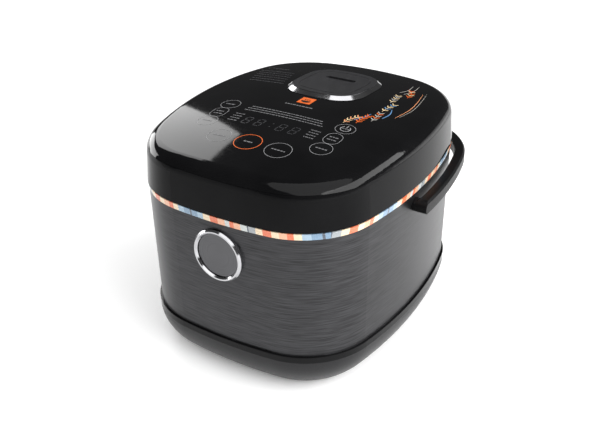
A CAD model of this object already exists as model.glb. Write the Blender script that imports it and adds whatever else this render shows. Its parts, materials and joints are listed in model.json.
"""Looks of a rice cooker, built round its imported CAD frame. Metres, +Z up, front towards -Y."""
import json
import math
import random

import bmesh
import bpy
from mathutils import Matrix, Vector


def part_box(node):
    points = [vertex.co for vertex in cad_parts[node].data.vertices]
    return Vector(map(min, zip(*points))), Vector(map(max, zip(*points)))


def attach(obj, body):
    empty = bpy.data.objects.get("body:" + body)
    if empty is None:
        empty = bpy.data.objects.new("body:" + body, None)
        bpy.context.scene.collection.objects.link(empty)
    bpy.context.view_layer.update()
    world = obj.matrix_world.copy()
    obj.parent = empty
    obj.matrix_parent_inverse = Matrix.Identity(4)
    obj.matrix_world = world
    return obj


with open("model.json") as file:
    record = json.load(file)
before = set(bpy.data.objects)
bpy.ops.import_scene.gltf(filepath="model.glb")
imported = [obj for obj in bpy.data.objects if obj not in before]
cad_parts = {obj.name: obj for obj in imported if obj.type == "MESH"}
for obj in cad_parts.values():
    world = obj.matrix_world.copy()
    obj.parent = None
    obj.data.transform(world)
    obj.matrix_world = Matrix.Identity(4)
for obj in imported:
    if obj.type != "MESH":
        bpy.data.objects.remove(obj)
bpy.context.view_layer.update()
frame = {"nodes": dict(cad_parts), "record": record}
NODES = frame["nodes"]

MM = 0.001
DOME_R = 1.100                      # lid's crown, as in the CAD
PRINT_LIFT = 0.00012                # ink layer above the lid
POT_LOW, POT_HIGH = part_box("inner_pot")
AXIS_Y = (POT_LOW.y + POT_HIGH.y) / 2
LID_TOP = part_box("lid_top_panel")[1].z
BAND_LOW, BAND_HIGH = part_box("decor_band")
DISC_LOW, DISC_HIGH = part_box("button_disc")

# ---------------------------------------------------------------- camera
FOCAL_PX = 848.0                    # fitted to the photograph, as are the view angles (radians)
IMAGE_W = 600
SENSOR = 36.0
VIEW_AZ = 0.5531
VIEW_EL = 0.5155
VIEW_ROLL = -0.0153
VIEW_FROM = Vector((0.4383, -0.7331, 0.5881))


def add_camera():
    level = math.cos(VIEW_EL)
    back = Vector((math.sin(VIEW_AZ) * level, -math.cos(VIEW_AZ) * level, math.sin(VIEW_EL)))
    side = Vector((0, 0, 1)).cross(back).normalized()
    turn = Matrix.Rotation(VIEW_ROLL, 3, back)
    side = turn @ side
    up = back.cross(side)
    data = bpy.data.cameras.new("camera")
    data.sensor_width = SENSOR
    data.lens = SENSOR * FOCAL_PX / IMAGE_W
    data.clip_start = 0.01
    camera = bpy.data.objects.new("camera", data)
    axes = Matrix((side, up, back)).transposed()
    camera.matrix_world = Matrix.Translation(VIEW_FROM) @ axes.to_4x4()
    bpy.context.scene.collection.objects.link(camera)
    bpy.context.scene.camera = camera


# ---------------------------------------------------------------- materials
def shade(red, green, blue):
    """Linear colour from 0-255 display values."""
    def linear(v):
        v /= 255
        return v / 12.92 if v <= 0.04045 else ((v + 0.055) / 1.055) ** 2.4
    return (linear(red), linear(green), linear(blue), 1.0)


class Finish:
    """One procedural material: a Principled shader and the nodes that feed it."""

    def __init__(self, name, metallic=0.0, **sockets):
        self.material = bpy.data.materials.new(name)
        self.material.use_nodes = True
        self.tree = self.material.node_tree
        self.bsdf = self.tree.nodes["Principled BSDF"]
        self.bsdf.inputs["Metallic"].default_value = metallic
        for socket, value in sockets.items():
            self.bsdf.inputs[socket.replace("_", " ")].default_value = value

    def node(self, kind, inputs=(), **settings):
        made = self.tree.nodes.new(kind)
        for key, value in settings.items():
            setattr(made, key, value)
        for socket, value in dict(inputs).items():
            if isinstance(value, bpy.types.NodeSocket):
                self.tree.links.new(value, made.inputs[socket])
            else:
                made.inputs[socket].default_value = value
        return made

    def place(self, stretch=(1, 1, 1), centre=(0, 0, 0)):
        """Object coordinates about a centre, scaled along each axis."""
        coords = self.node("ShaderNodeTexCoord").outputs["Object"]
        moved = self.node("ShaderNodeVectorMath", {0: coords, 1: centre}, operation="SUBTRACT")
        return self.node("ShaderNodeVectorMath", {0: moved.outputs[0], 1: stretch},
                         operation="MULTIPLY").outputs[0]

    def noise(self, scale, stretch=(1, 1, 1), detail=3.0):
        where = {"Vector": self.place(stretch), "Scale": scale, "Detail": detail}
        return self.node("ShaderNodeTexNoise", where).outputs["Fac"]

    def remap(self, value, low, high, start=0.3, end=0.7):
        ends = {"Value": value, "From Min": start, "From Max": end, "To Min": low, "To Max": high}
        return self.node("ShaderNodeMapRange", ends).outputs["Result"]

    def blend(self, amount, first, second):
        mixed = self.node("ShaderNodeMix", {0: amount, 6: first, 7: second}, data_type="RGBA")
        return mixed.outputs[2]

    def math(self, operation, first, second=0.0):
        made = self.node("ShaderNodeMath", {0: first, 1: second}, operation=operation)
        return made.outputs[0]

    def cross(self, first, second):
        made = self.node("ShaderNodeVectorMath", {0: first, 1: second}, operation="CROSS_PRODUCT")
        return made.outputs[0]

    def colour(self, socket):
        self.tree.links.new(socket, self.bsdf.inputs["Base Color"])
        return self

    def rough(self, socket):
        self.tree.links.new(socket, self.bsdf.inputs["Roughness"])
        return self

    def tangent(self, socket):
        self.tree.links.new(socket, self.bsdf.inputs["Tangent"])
        return self

    def bump(self, height, depth, strength=1.0):
        relief = {"Height": height, "Distance": depth, "Strength": strength}
        made = self.node("ShaderNodeBump", relief)
        self.tree.links.new(made.outputs["Normal"], self.bsdf.inputs["Normal"])
        return self


def grained(name, dark, pale, scale, rough, depth=0.0, stretch=(1, 1, 1), metallic=0.0, **sockets):
    """Finish whose colour, roughness and bump all follow one noise."""
    made = Finish(name, metallic, **sockets)
    grain = made.noise(scale, stretch)
    made.colour(made.blend(made.remap(grain, 0, 1), shade(*dark), shade(*pale)))
    made.rough(made.remap(grain, *rough))
    if depth:
        made.bump(grain, depth)
    return made.material


def brushed_steel():
    """Level brushing round the body; its tangent points up, so highlights spread upright."""
    made = Finish("brushed_steel", 1.0, Anisotropic=0.7)
    fine = made.noise(5.0, (9, 9, 380), 4.0)
    broad = made.noise(5.0, (7, 7, 170), 3.0)
    streak = made.math("ADD", fine, broad)
    amount = made.remap(streak, 0, 1, 0.7, 1.3)
    made.colour(made.blend(amount, shade(52, 52, 53), shade(80, 80, 82)))
    made.rough(made.remap(streak, 0.32, 0.40, 0.75, 1.25))
    made.bump(fine, 0.00001)
    normal = made.node("ShaderNodeNewGeometry").outputs["Normal"]
    made.tangent(made.cross(made.cross(normal, (0, 0, 1)), normal))
    return made.material


def spun_disc():
    """Fine rings about the disc's centre; the tangent points outwards."""
    centre = ((DISC_LOW.x + DISC_HIGH.x) / 2, 0.0, (DISC_LOW.z + DISC_HIGH.z) / 2)
    made = Finish("spun_disc", 1.0, Anisotropic=0.95)
    flat = made.place((1, 0, 1), centre)
    reach = made.node("ShaderNodeVectorMath", {0: flat}, operation="LENGTH").outputs["Value"]
    rings = made.node("ShaderNodeTexNoise", {"W": reach, "Scale": 2600.0, "Detail": 3.0},
                      noise_dimensions="1D").outputs["Fac"]
    made.colour(made.blend(made.remap(rings, 0, 1), shade(56, 56, 58), shade(112, 112, 114)))
    made.rough(made.remap(rings, 0.16, 0.22))
    made.bump(rings, 0.00002)
    turned = made.node("ShaderNodeVectorTransform", {"Vector": flat}, vector_type="VECTOR",
                       convert_from="OBJECT", convert_to="WORLD")
    made.tangent(turned.outputs[0])
    return made.material


# Printed patchwork strip: share of one repeat at which each patch starts, and its colour.
BLUE = (104, 140, 170)
PALE_BLUE = (150, 178, 198)
CREAM = (236, 212, 176)
ORANGE = (226, 98, 30)
PEACH = (236, 172, 132)
PALE_GREY = (198, 203, 200)
GREY = (150, 156, 160)
LINE = (44, 60, 78)
PATCHES = (
    (0.000, LINE), (0.012, BLUE), (0.070, PALE_BLUE), (0.120, CREAM), (0.180, ORANGE),
    (0.250, PEACH), (0.310, PALE_GREY), (0.350, ORANGE), (0.385, PEACH), (0.440, PALE_GREY),
    (0.494, LINE), (0.506, GREY), (0.560, CREAM), (0.615, ORANGE), (0.680, CREAM),
    (0.735, PEACH), (0.790, ORANGE), (0.835, CREAM), (0.885, PALE_BLUE), (0.940, BLUE),
)
REPEAT = 0.135                      # length of one repeat round the body
REPEAT_START = -0.0318              # x of the line between two blue patches on the front


def patchwork():
    """Patches run along x on the front and back, and along y on the sides."""
    half_w = (BAND_HIGH.x - BAND_LOW.x) / 2
    half_d = (BAND_HIGH.y - BAND_LOW.y) / 2
    middle_y = (BAND_LOW.y + BAND_HIGH.y) / 2
    made = Finish("patchwork_strip", Coat_Weight=0.6, Coat_Roughness=0.08)
    place = made.node("ShaderNodeSeparateXYZ", {0: made.place(centre=(0, middle_y, 0))})
    x, y = place.outputs["X"], place.outputs["Y"]
    lead = made.math("SUBTRACT", made.math("ABSOLUTE", y), made.math("ABSOLUTE", x))
    on_side = made.math("LESS_THAN", lead, half_d - half_w)
    past_corner = made.math("ADD", y, half_w + half_d)
    run = made.node("ShaderNodeMix", {0: on_side, 2: x, 3: past_corner}).outputs[0]
    repeats = made.math("DIVIDE", made.math("SUBTRACT", run, REPEAT_START), REPEAT)
    share = made.math("FRACT", repeats)
    ramp = made.node("ShaderNodeValToRGB", {"Fac": share})
    ramp.color_ramp.interpolation = "CONSTANT"
    stops = ramp.color_ramp.elements
    stops.remove(stops[1])
    stops[0].position, stops[0].color = PATCHES[0][0], shade(*PATCHES[0][1])
    for start, colour in PATCHES[1:]:
        stop = stops.new(start)
        stop.color = shade(*colour)
    weave = made.noise(900.0)
    made.colour(made.blend(made.remap(weave, 0, 0.12), ramp.outputs["Color"], shade(255, 255, 255)))
    made.rough(made.remap(weave, 0.35, 0.5))
    return made.material


def piano_black(name, level):
    """Polished black moulding with faint orange peel and dust-fine roughness."""
    made = Finish(name, Specular_IOR_Level=level)
    cloud = made.noise(14.0)
    made.colour(made.blend(made.remap(cloud, 0, 1), shade(13, 13, 14), shade(19, 19, 20)))
    made.rough(made.remap(made.noise(260.0), 0.045, 0.075))
    made.bump(cloud, 0.00005, 0.4)
    return made.material


THIN_INK = 0.82                     # strength of the print's thinnest spots


def ink(name, rgb):
    """Screen print with slightly uneven coverage."""
    made = Finish(name, Specular_IOR_Level=0.2)
    cover = made.noise(700.0)
    colour = shade(*rgb)
    dim = tuple(THIN_INK * c for c in colour[:3]) + (1.0,)
    made.colour(made.blend(made.remap(cover, 0, 1), dim, colour))
    made.rough(made.remap(cover, 0.4, 0.6))
    return made.material


# Slot: dark and pale colour, grain per metre, roughness range, and what else differs.
GRAINED = {
    "base_plastic": ((26, 26, 27), (36, 36, 38), 900, (0.30, 0.42),
                     dict(depth=0.00006, Specular_IOR_Level=0.25)),
    "frame_plastic": ((20, 20, 21), (30, 30, 32), 800, (0.4, 0.55),
                      dict(depth=0.00006, Specular_IOR_Level=0.25)),
    "well_sheet": ((150, 150, 152), (190, 190, 192), 60, (0.25, 0.4),
                   dict(depth=0.00003, stretch=(1, 1, 14), metallic=1.0)),
    "pot_coating": ((38, 38, 40), (62, 62, 66), 1400, (0.35, 0.5), dict(depth=0.00003)),
    "cast_plate": ((140, 140, 142), (185, 185, 187), 300, (0.35, 0.5),
                   dict(depth=0.00006, metallic=1.0)),
    "heater_sheath": ((96, 86, 78), (128, 120, 112), 120, (0.4, 0.6),
                      dict(depth=0.00004, metallic=1.0)),
    "sensor_cap": ((170, 170, 172), (205, 205, 207), 400, (0.2, 0.32),
                   dict(depth=0.00002, metallic=1.0)),
    "spring_steel": ((130, 130, 134), (175, 175, 178), 500, (0.22, 0.35), dict(metallic=1.0)),
    "foil": ((180, 180, 182), (215, 215, 216), 160, (0.25, 0.5), dict(depth=0.0002, metallic=1.0)),
    "fuse_ceramic": ((214, 210, 198), (232, 229, 220), 300, (0.4, 0.6), dict()),
    "bracket_plastic": ((176, 174, 164), (192, 190, 180), 600, (0.45, 0.6), dict(depth=0.00004)),
    "pcb": ((22, 84, 48), (34, 112, 66), 240, (0.3, 0.45), dict(depth=0.00002)),
    "transformer_core": ((60, 60, 64), (92, 90, 88), 700, (0.4, 0.6),
                         dict(depth=0.0001, stretch=(1, 1, 3), metallic=0.6)),
    "heat_sink_metal": ((150, 150, 152), (176, 176, 178), 300, (0.3, 0.45),
                        dict(depth=0.00002, stretch=(1, 8, 1), metallic=1.0)),
    "relay_plastic": ((34, 66, 128), (44, 80, 150), 500, (0.35, 0.5), dict()),
    "capacitor_can": ((52, 54, 74), (70, 72, 96), 400, (0.3, 0.45), dict()),
    "terminal_plastic": ((206, 202, 192), (222, 219, 210), 500, (0.4, 0.55), dict()),
    "lead_jacket": ((120, 24, 20), (150, 36, 30), 400, (0.45, 0.6), dict()),
    "inlet_plastic": ((18, 18, 19), (28, 28, 30), 700, (0.4, 0.55), dict(depth=0.00005)),
    "blade_brass": ((190, 160, 96), (214, 186, 124), 300, (0.2, 0.35),
                    dict(depth=0.00002, stretch=(1, 6, 1), metallic=1.0)),
    "chrome": ((176, 176, 179), (200, 200, 202), 40, (0.10, 0.16), dict(metallic=1.0)),
    "lever_plastic": ((52, 52, 54), (66, 66, 68), 600, (0.35, 0.5), dict(depth=0.00003)),
    "pin_steel": ((160, 160, 163), (196, 196, 198), 300, (0.18, 0.3),
                  dict(depth=0.00002, stretch=(6, 1, 1), metallic=1.0)),
    "liner_plastic": ((46, 46, 48), (58, 58, 60), 700, (0.4, 0.55), dict(depth=0.00006)),
    "plate_aluminium": ((176, 176, 178), (206, 206, 208), 80, (0.22, 0.34),
                        dict(depth=0.00002, stretch=(1, 14, 1), metallic=1.0)),
    "gasket_rubber": ((186, 184, 176), (204, 202, 196), 500, (0.5, 0.65),
                      dict(depth=0.00004, Subsurface_Weight=0.1)),
    "display_lens": ((22, 22, 24), (30, 30, 33), 300, (0.06, 0.12), dict()),
    "vent_metal": ((44, 44, 46), (66, 66, 68), 60, (0.32, 0.45),
                   dict(depth=0.00003, stretch=(30, 1, 1), metallic=0.5)),
    "handle_plastic": ((10, 10, 11), (17, 17, 18), 900, (0.34, 0.46),
                       dict(depth=0.00006, Specular_IOR_Level=0.12)),
    "foot_rubber": ((30, 30, 30), (42, 42, 42), 800, (0.6, 0.8), dict(depth=0.0001)),
}


def make_finishes():
    finishes = {slot: grained(slot, *look, **more) for slot, (*look, more) in GRAINED.items()}
    finishes["strip_plastic"] = piano_black("strip_plastic", 0.12)
    finishes["brushed_steel"] = brushed_steel()
    finishes["band_print"] = patchwork()
    finishes["spun_disc"] = spun_disc()
    finishes["lid_gloss"] = piano_black("lid_gloss", 0.07)
    finishes["panel_gloss"] = piano_black("panel_gloss", 0.14)
    return finishes


def dress_nodes(finishes):
    """Gives each CAD node the finish of its slot in the record."""
    for part in frame["record"]["subparts"]:
        slots = NODES[part["node"]].data.materials
        slots.clear()
        slots.append(finishes[part["material_slot"]])


# ---------------------------------------------------------------- print on the lid
def on_dome(x, y):
    """Point on the lid, in metres, from millimetres measured from the pot's axis."""
    x *= MM
    y *= MM
    z = LID_TOP - DOME_R + math.sqrt(DOME_R ** 2 - x * x - y * y) + PRINT_LIFT
    return (x, y + AXIS_Y, z)


class Print:
    """One layer of ink on the lid, gathered as flat strips and patches."""

    def __init__(self, name, finish):
        self.name = name
        self.finish = finish
        self.points = []
        self.faces = []

    def patch(self, outline):
        start = len(self.points)
        self.points += [on_dome(x, y) for x, y in outline]
        self.faces.append(list(range(start, start + len(outline))))

    def stroke(self, path, widths, closed=False):
        """Strip along a path; widths is one number, or one per point."""
        count = len(path)
        if isinstance(widths, (int, float)):
            widths = [widths] * count
        sides = []
        for i, (x, y) in enumerate(path):
            ahead = path[(i + 1) % count] if closed or i + 1 < count else path[i]
            behind = path[i - 1] if closed or i else path[i]
            dx, dy = ahead[0] - behind[0], ahead[1] - behind[1]
            reach = math.hypot(dx, dy) or 1.0
            ox, oy = -dy / reach * widths[i] / 2, dx / reach * widths[i] / 2
            sides.append(((x + ox, y + oy), (x - ox, y - oy)))
        for i in range(count if closed else count - 1):
            a, b = sides[i], sides[(i + 1) % count]
            self.patch([a[0], b[0], b[1], a[1]])

    def ring(self, x, y, r, width, stretch=1.0, start=0.0, end=360.0):
        closed = end - start >= 360
        steps = 40
        count = steps if closed else steps + 1
        path = []
        for i in range(count):
            angle = math.radians(start + (end - start) * i / steps)
            path.append((x + r * math.cos(angle), y + stretch * r * math.sin(angle)))
        self.stroke(path, width, closed)

    def pill(self, x, y, r, half_run, width):
        """Upright key outline: two half circles joined by straight runs."""
        steps = 18
        path = []
        for end, turn in ((1, 0), (-1, 180)):
            for i in range(steps + 1):
                angle = math.radians(turn + 180 * i / steps)
                path.append((x + r * math.cos(angle), y + end * half_run + r * math.sin(angle)))
        self.stroke(path, width, True)

    def bar(self, x, y, length, height):
        self.patch([(x, y), (x + length, y), (x + length, y + height), (x, y + height)])

    def text_row(self, x, y, length, height, seed):
        """Row of short bars that stands for a line of small print."""
        chance = random.Random(seed)
        at = x
        while at < x + length:
            word = min(chance.uniform(1.2, 4.2), x + length - at)
            if word > 0.4:
                self.bar(at, y, word, height)
            at += word + 0.8

    def lay(self):
        mesh = bpy.data.meshes.new(self.name)
        mesh.from_pydata(self.points, [], self.faces)
        form = bmesh.new()
        form.from_mesh(mesh)
        bmesh.ops.triangulate(form, faces=[f for f in form.faces if len(f.verts) > 4])
        bmesh.ops.recalc_face_normals(form, faces=form.faces)
        for face in form.faces:
            if face.normal.z < 0:
                face.normal_flip()
        form.to_mesh(mesh)
        form.free()
        piece = bpy.data.objects.new(self.name, mesh)
        mesh.materials.append(self.finish)
        bpy.context.scene.collection.objects.link(piece)
        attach(piece, "lid")
        return piece


# Keys in millimetres from the pot's axis: x, y, radius, and half the straight run of a pill.
KEY_LINE = 0.42
START_LINE = 0.75
POWER_LINE = 0.8
ROUND_KEYS = ((-69.5, -38.5, 10.8), (-68.2, -82.0, 10.8), (-36.0, -106.0, 12.6),
              (34.0, -107.0, 13.6), (68.5, -84.5, 11.2), (69.0, -37.0, 10.4))
PILL_KEYS = ((-68.8, -60.5, 8.6, 2.8), (68.5, -61.5, 8.6, 2.8))
START_KEY = (-1.5, -106.0, 14.2)


def draw_keys(grey, bright, orange):
    """Key outlines with a bar of print in each, and a power mark in the last round key."""
    for x, y, r in ROUND_KEYS:
        bright.ring(x, y, r, KEY_LINE)
        grey.text_row(x - 0.55 * r, y - 0.7, 1.1 * r, 1.5, round(x + y))
    for x, y, r, run in PILL_KEYS:
        bright.pill(x, y, r, run, KEY_LINE)
        grey.text_row(x - 0.6 * r, y + 2.0, 1.2 * r, 1.4, round(x - y))
        grey.text_row(x - 0.6 * r, y - 3.6, 1.2 * r, 1.4, round(x + 2 * y))
    x, y, r = START_KEY
    orange.ring(x, y, r, START_LINE)
    grey.text_row(x - 5.0, y - 0.8, 10.0, 1.7, 5)
    x, y, r = ROUND_KEYS[-1]
    bright.ring(x, y, 0.5 * r, POWER_LINE, start=125, end=415)
    bright.bar(x - POWER_LINE / 2, y + 0.2 * r, POWER_LINE, 0.5 * r)


SEGMENT_L = 7.0
SEGMENT_W = 1.1
SEGMENT_GAP = 0.7
SLANT = 0.12                        # sideways run of a digit per unit of height
DIGIT_Y = -74.0
DIGIT_X = (-33.0, -18.0, 8.0, 23.0)
COLON_X = -1.0
COLON_Y = (-71.0, -64.0)
COLON_SIZE = 1.6
TOP_ROWS = ((-44, 86), (-46, 90), (-47, 94))
SIDE_COLUMNS = ((-50, 30), (41, 40))


def draw_digit(layer, x, y):
    """Seven segments of one unlit digit, lower left corner at x, y."""
    level = [(0, 0), (0, SEGMENT_L), (0, 2 * SEGMENT_L)]
    upright = [(0, 0), (SEGMENT_L, 0), (0, SEGMENT_L), (SEGMENT_L, SEGMENT_L)]
    gap = SEGMENT_GAP
    for dx, dy in level:
        start = (x + dx + gap + SLANT * dy, y + dy)
        layer.stroke([start, (start[0] + SEGMENT_L - 2 * gap, start[1])], SEGMENT_W)
    for dx, dy in upright:
        low = (x + dx + SLANT * (dy + gap), y + dy + gap)
        high = (x + dx + SLANT * (dy + SEGMENT_L - gap), y + dy + SEGMENT_L - gap)
        layer.stroke([low, high], SEGMENT_W)


def draw_display(faint, grey):
    """Four unlit digits with a colon, three rows of print above and a column on each side."""
    for x in DIGIT_X:
        draw_digit(faint, x, DIGIT_Y)
    for y in COLON_Y:
        faint.bar(COLON_X + SLANT * (y - DIGIT_Y), y, COLON_SIZE, COLON_SIZE)
    for row, (start, length) in enumerate(TOP_ROWS):
        grey.text_row(start, -35.5 - 5.0 * row, length, 1.3, 20 + row)
    for row in range(4):
        for start, seed in SIDE_COLUMNS:
            grey.text_row(start, -57.0 - 5.2 * row, 11, 1.2, seed + row)


BADGE_SIZE = 16.0
BADGE_Y = 3.0
BOWL_Y = 2.4
BOWL_R = 5.6
BOWL_DEPTH = 4.8
STEAM_X = (-2.6, 0.0, 2.6)
STEAM_WIDTHS = (0.9, 0.9, 0.8, 0.7, 0.3)


def draw_badge(orange, dark, grey):
    """Square badge with a bowl and steam, and a row of print under it."""
    orange.bar(-BADGE_SIZE / 2, BADGE_Y - BADGE_SIZE / 2, BADGE_SIZE, BADGE_SIZE)
    bowl = []
    for degrees in range(180, 361, 15):
        angle = math.radians(degrees)
        bowl.append((BOWL_R * math.cos(angle), BOWL_Y + BOWL_DEPTH * math.sin(angle)))
    dark.patch(bowl)
    for x in STEAM_X:
        path = [(x + 0.6 * math.sin(1.6 * t), 3.6 + t) for t in range(len(STEAM_WIDTHS))]
        dark.stroke(path, STEAM_WIDTHS)
    grey.text_row(-17, -13.5, 34, 1.7, 60)


def curve(points, steps=8):
    """Smooth path through points (Catmull-Rom)."""
    path = []
    ends = [points[0]] + list(points) + [points[-1]]
    for corners in zip(ends, ends[1:], ends[2:], ends[3:]):
        for i in range(steps):
            t = i / steps
            path.append(tuple(0.5 * (2 * b + (c - a) * t + (2 * a - 5 * b + 4 * c - d) * t * t
                                     + (3 * b - a - 3 * c + d) * t ** 3)
                              for a, b, c, d in zip(*corners)))
    path.append(points[-1])
    return path


def brush(layer, points, width):
    """Brush stroke that swells in its middle and thins to its end."""
    path = curve(points)
    last = len(path) - 1
    widths = []
    for i in range(last + 1):
        swell = math.sin(math.pi * min(1.0, 0.15 + 0.85 * i / last)) ** 0.7
        widths.append(width * (0.25 + 0.75 * swell))
    layer.stroke(path, widths)


GRAIN_L = 5.2
GRAIN_W = 1.25
GRAIN_BOW = 0.5
GRAIN_SPLAY = 0.75                  # radians between a grain and its stalk
STALK_W = 0.6


def draw_sprig(layers, x, y, size, lean, stalk):
    """Ear of rice: a bent stalk with grains laid along both sides of it."""
    top = (x + size * math.sin(lean), y + size * math.cos(lean))
    middle = (x + 0.5 * size * math.sin(0.4 * lean), y + 0.5 * size * math.cos(0.4 * lean))
    path = curve([(x, y), middle, top], 5)
    stalk.stroke(path, STALK_W)
    for i, (px, py) in enumerate(path[2::2]):
        for hand in (-1, 1):
            angle = lean + hand * GRAIN_SPLAY
            tip = (px + GRAIN_L * math.sin(angle), py + GRAIN_L * math.cos(angle))
            belly = ((px + tip[0]) / 2 + GRAIN_BOW * hand, (py + tip[1]) / 2)
            brush(layers[i % len(layers)], [(px, py), belly, tip], GRAIN_W)


def draw_sprigs(orange, cream, peach, blue, pale):
    """Generic ears of rice and grass strokes along the right of the lid."""
    draw_sprig([peach, cream], 60, -26, 22, 0.3, cream)
    draw_sprig([orange, orange], 71, -19, 22, 0.15, orange)
    draw_sprig([pale, orange], 82, -6, 22, -0.05, pale)
    draw_sprig([cream, blue], 80, 22, 24, 0.1, cream)
    draw_sprig([cream, pale], 76, 50, 24, -0.1, pale)
    draw_sprig([orange, cream], 84, 76, 24, -0.25, orange)
    brush(blue, [(66, -14), (72, 0), (74, 10)], 1.0)
    brush(blue, [(88, 6), (90, 20), (86, 34)], 1.2)
    brush(pale, [(70, 86), (74, 100), (72, 118)], 0.8)
    brush(pale, [(76, 84), (80, 100), (78, 122)], 0.8)
    brush(peach, [(98, 16), (101, 44), (98, 72), (92, 100)], 0.7)
    brush(pale, [(101, 20), (104, 46), (101, 74), (95, 104)], 0.5)


def draw_notes(faint):
    """Block of faint small print at the rear left."""
    for row in range(6):
        faint.text_row(-108 + 2 * row, 78 - 8 * row, 46, 2.2, 70 + row)
    faint.ring(-102, 92, 3.4, 0.6)
    faint.text_row(-96, 90, 20, 3.2, 90)


LAYERS = (
    ("key_print", "ink_grey", (118, 118, 120)),
    ("key_rings", "ink_light", (160, 160, 162)),
    ("orange_print", "ink_orange", (226, 104, 40)),
    ("display_segments", "ink_faint", (46, 46, 49)),
    ("badge_drawing", "ink_dark", (18, 16, 15)),
    ("cream_print", "ink_cream", (234, 206, 160)),
    ("peach_print", "ink_peach", (232, 156, 110)),
    ("blue_print", "ink_blue", (96, 140, 186)),
    ("pale_print", "ink_pale", (176, 172, 166)),
)


def print_lid():
    """Lays every ink on the lid; the badge's drawing goes over its orange square."""
    layers = [Print(name, ink(ink_name, rgb)) for name, ink_name, rgb in LAYERS]
    grey, bright, orange, faint, dark, cream, peach, blue, pale = layers
    draw_keys(grey, bright, orange)
    draw_display(faint, grey)
    draw_badge(orange, dark, grey)
    draw_sprigs(orange, cream, peach, blue, pale)
    draw_notes(faint)
    for layer in layers:
        piece = layer.lay()
        if layer is dark:
            piece.location.z += PRINT_LIFT


# ---------------------------------------------------------------- studio
WHITE = (1, 1, 1, 1)
FLOOR_GLOW = 0.14
FLOOR_REACH = 40.0
SKY_STRENGTH = 0.07
# Sun: towards which direction, strength, and spread in degrees.
OVERHEAD = ((0.30, -0.28, 0.90), 2.2, 75)
# Softboxes: name, place, aim, width, height, watts, twist in degrees.
SOFTBOXES = (
    ("left_box", (-1.75, 1.16, 1.48), (0, 1.16, 1.48), 1.2, 1.3, 25, 23.6),
    ("right_box", (1.9, 0.25, 1.2), (0, AXIS_Y, 0.2), 3.4, 1.0, 75, 0.0),
    ("low_box", (-2.0, 0.25, 0.5), (0, AXIS_Y, 0.12), 1.4, 0.7, 22, 0.0),
)


def add_floor():
    made = Finish("floor", Specular_IOR_Level=0.1, Emission_Color=WHITE,
                  Emission_Strength=FLOOR_GLOW)
    cloud = made.noise(3.0)
    made.colour(made.blend(made.remap(cloud, 0, 1), shade(243, 243, 243), shade(246, 246, 246)))
    made.rough(made.remap(cloud, 0.8, 0.9))
    mesh = bpy.data.meshes.new("floor")
    far = FLOOR_REACH
    mesh.from_pydata([(-far, -far, 0), (far, -far, 0), (far, far, 0), (-far, far, 0)], [],
                     [(0, 1, 2, 3)])
    mesh.materials.append(made.material)
    floor = bpy.data.objects.new("floor", mesh)
    bpy.context.scene.collection.objects.link(floor)


def add_softbox(name, at, aim, width, height, power, twist):
    """Area light at one point, facing another, turned by twist degrees about its own axis."""
    data = bpy.data.lights.new(name, "AREA")
    data.shape = "RECTANGLE"
    data.size = width
    data.size_y = height
    data.energy = power
    light = bpy.data.objects.new(name, data)
    back = (Vector(at) - Vector(aim)).normalized()
    level = Vector((0, 0, 1)).cross(back).normalized()
    turn = Matrix.Rotation(math.radians(twist), 3, back)
    axes = Matrix((turn @ level, turn @ back.cross(level), back)).transposed()
    light.matrix_world = Matrix.Translation(at) @ axes.to_4x4()
    bpy.context.scene.collection.objects.link(light)


def add_overhead(towards, strength, spread):
    """Broad even light from one direction, soft over spread degrees."""
    data = bpy.data.lights.new("overhead", "SUN")
    data.energy = strength
    data.angle = math.radians(spread)
    light = bpy.data.objects.new("overhead", data)
    light.rotation_euler = Vector(towards).to_track_quat("Z", "Y").to_euler()
    bpy.context.scene.collection.objects.link(light)


def add_lights():
    add_overhead(*OVERHEAD)
    for box in SOFTBOXES:
        add_softbox(*box)
    world = bpy.data.worlds.new("studio")
    world.use_nodes = True
    sky = world.node_tree.nodes["Background"].inputs
    sky["Color"].default_value = WHITE
    sky["Strength"].default_value = SKY_STRENGTH
    bpy.context.scene.world = world
    bpy.context.scene.view_settings.view_transform = "Standard"


add_camera()
dress_nodes(make_finishes())
print_lid()
add_floor()
add_lights()
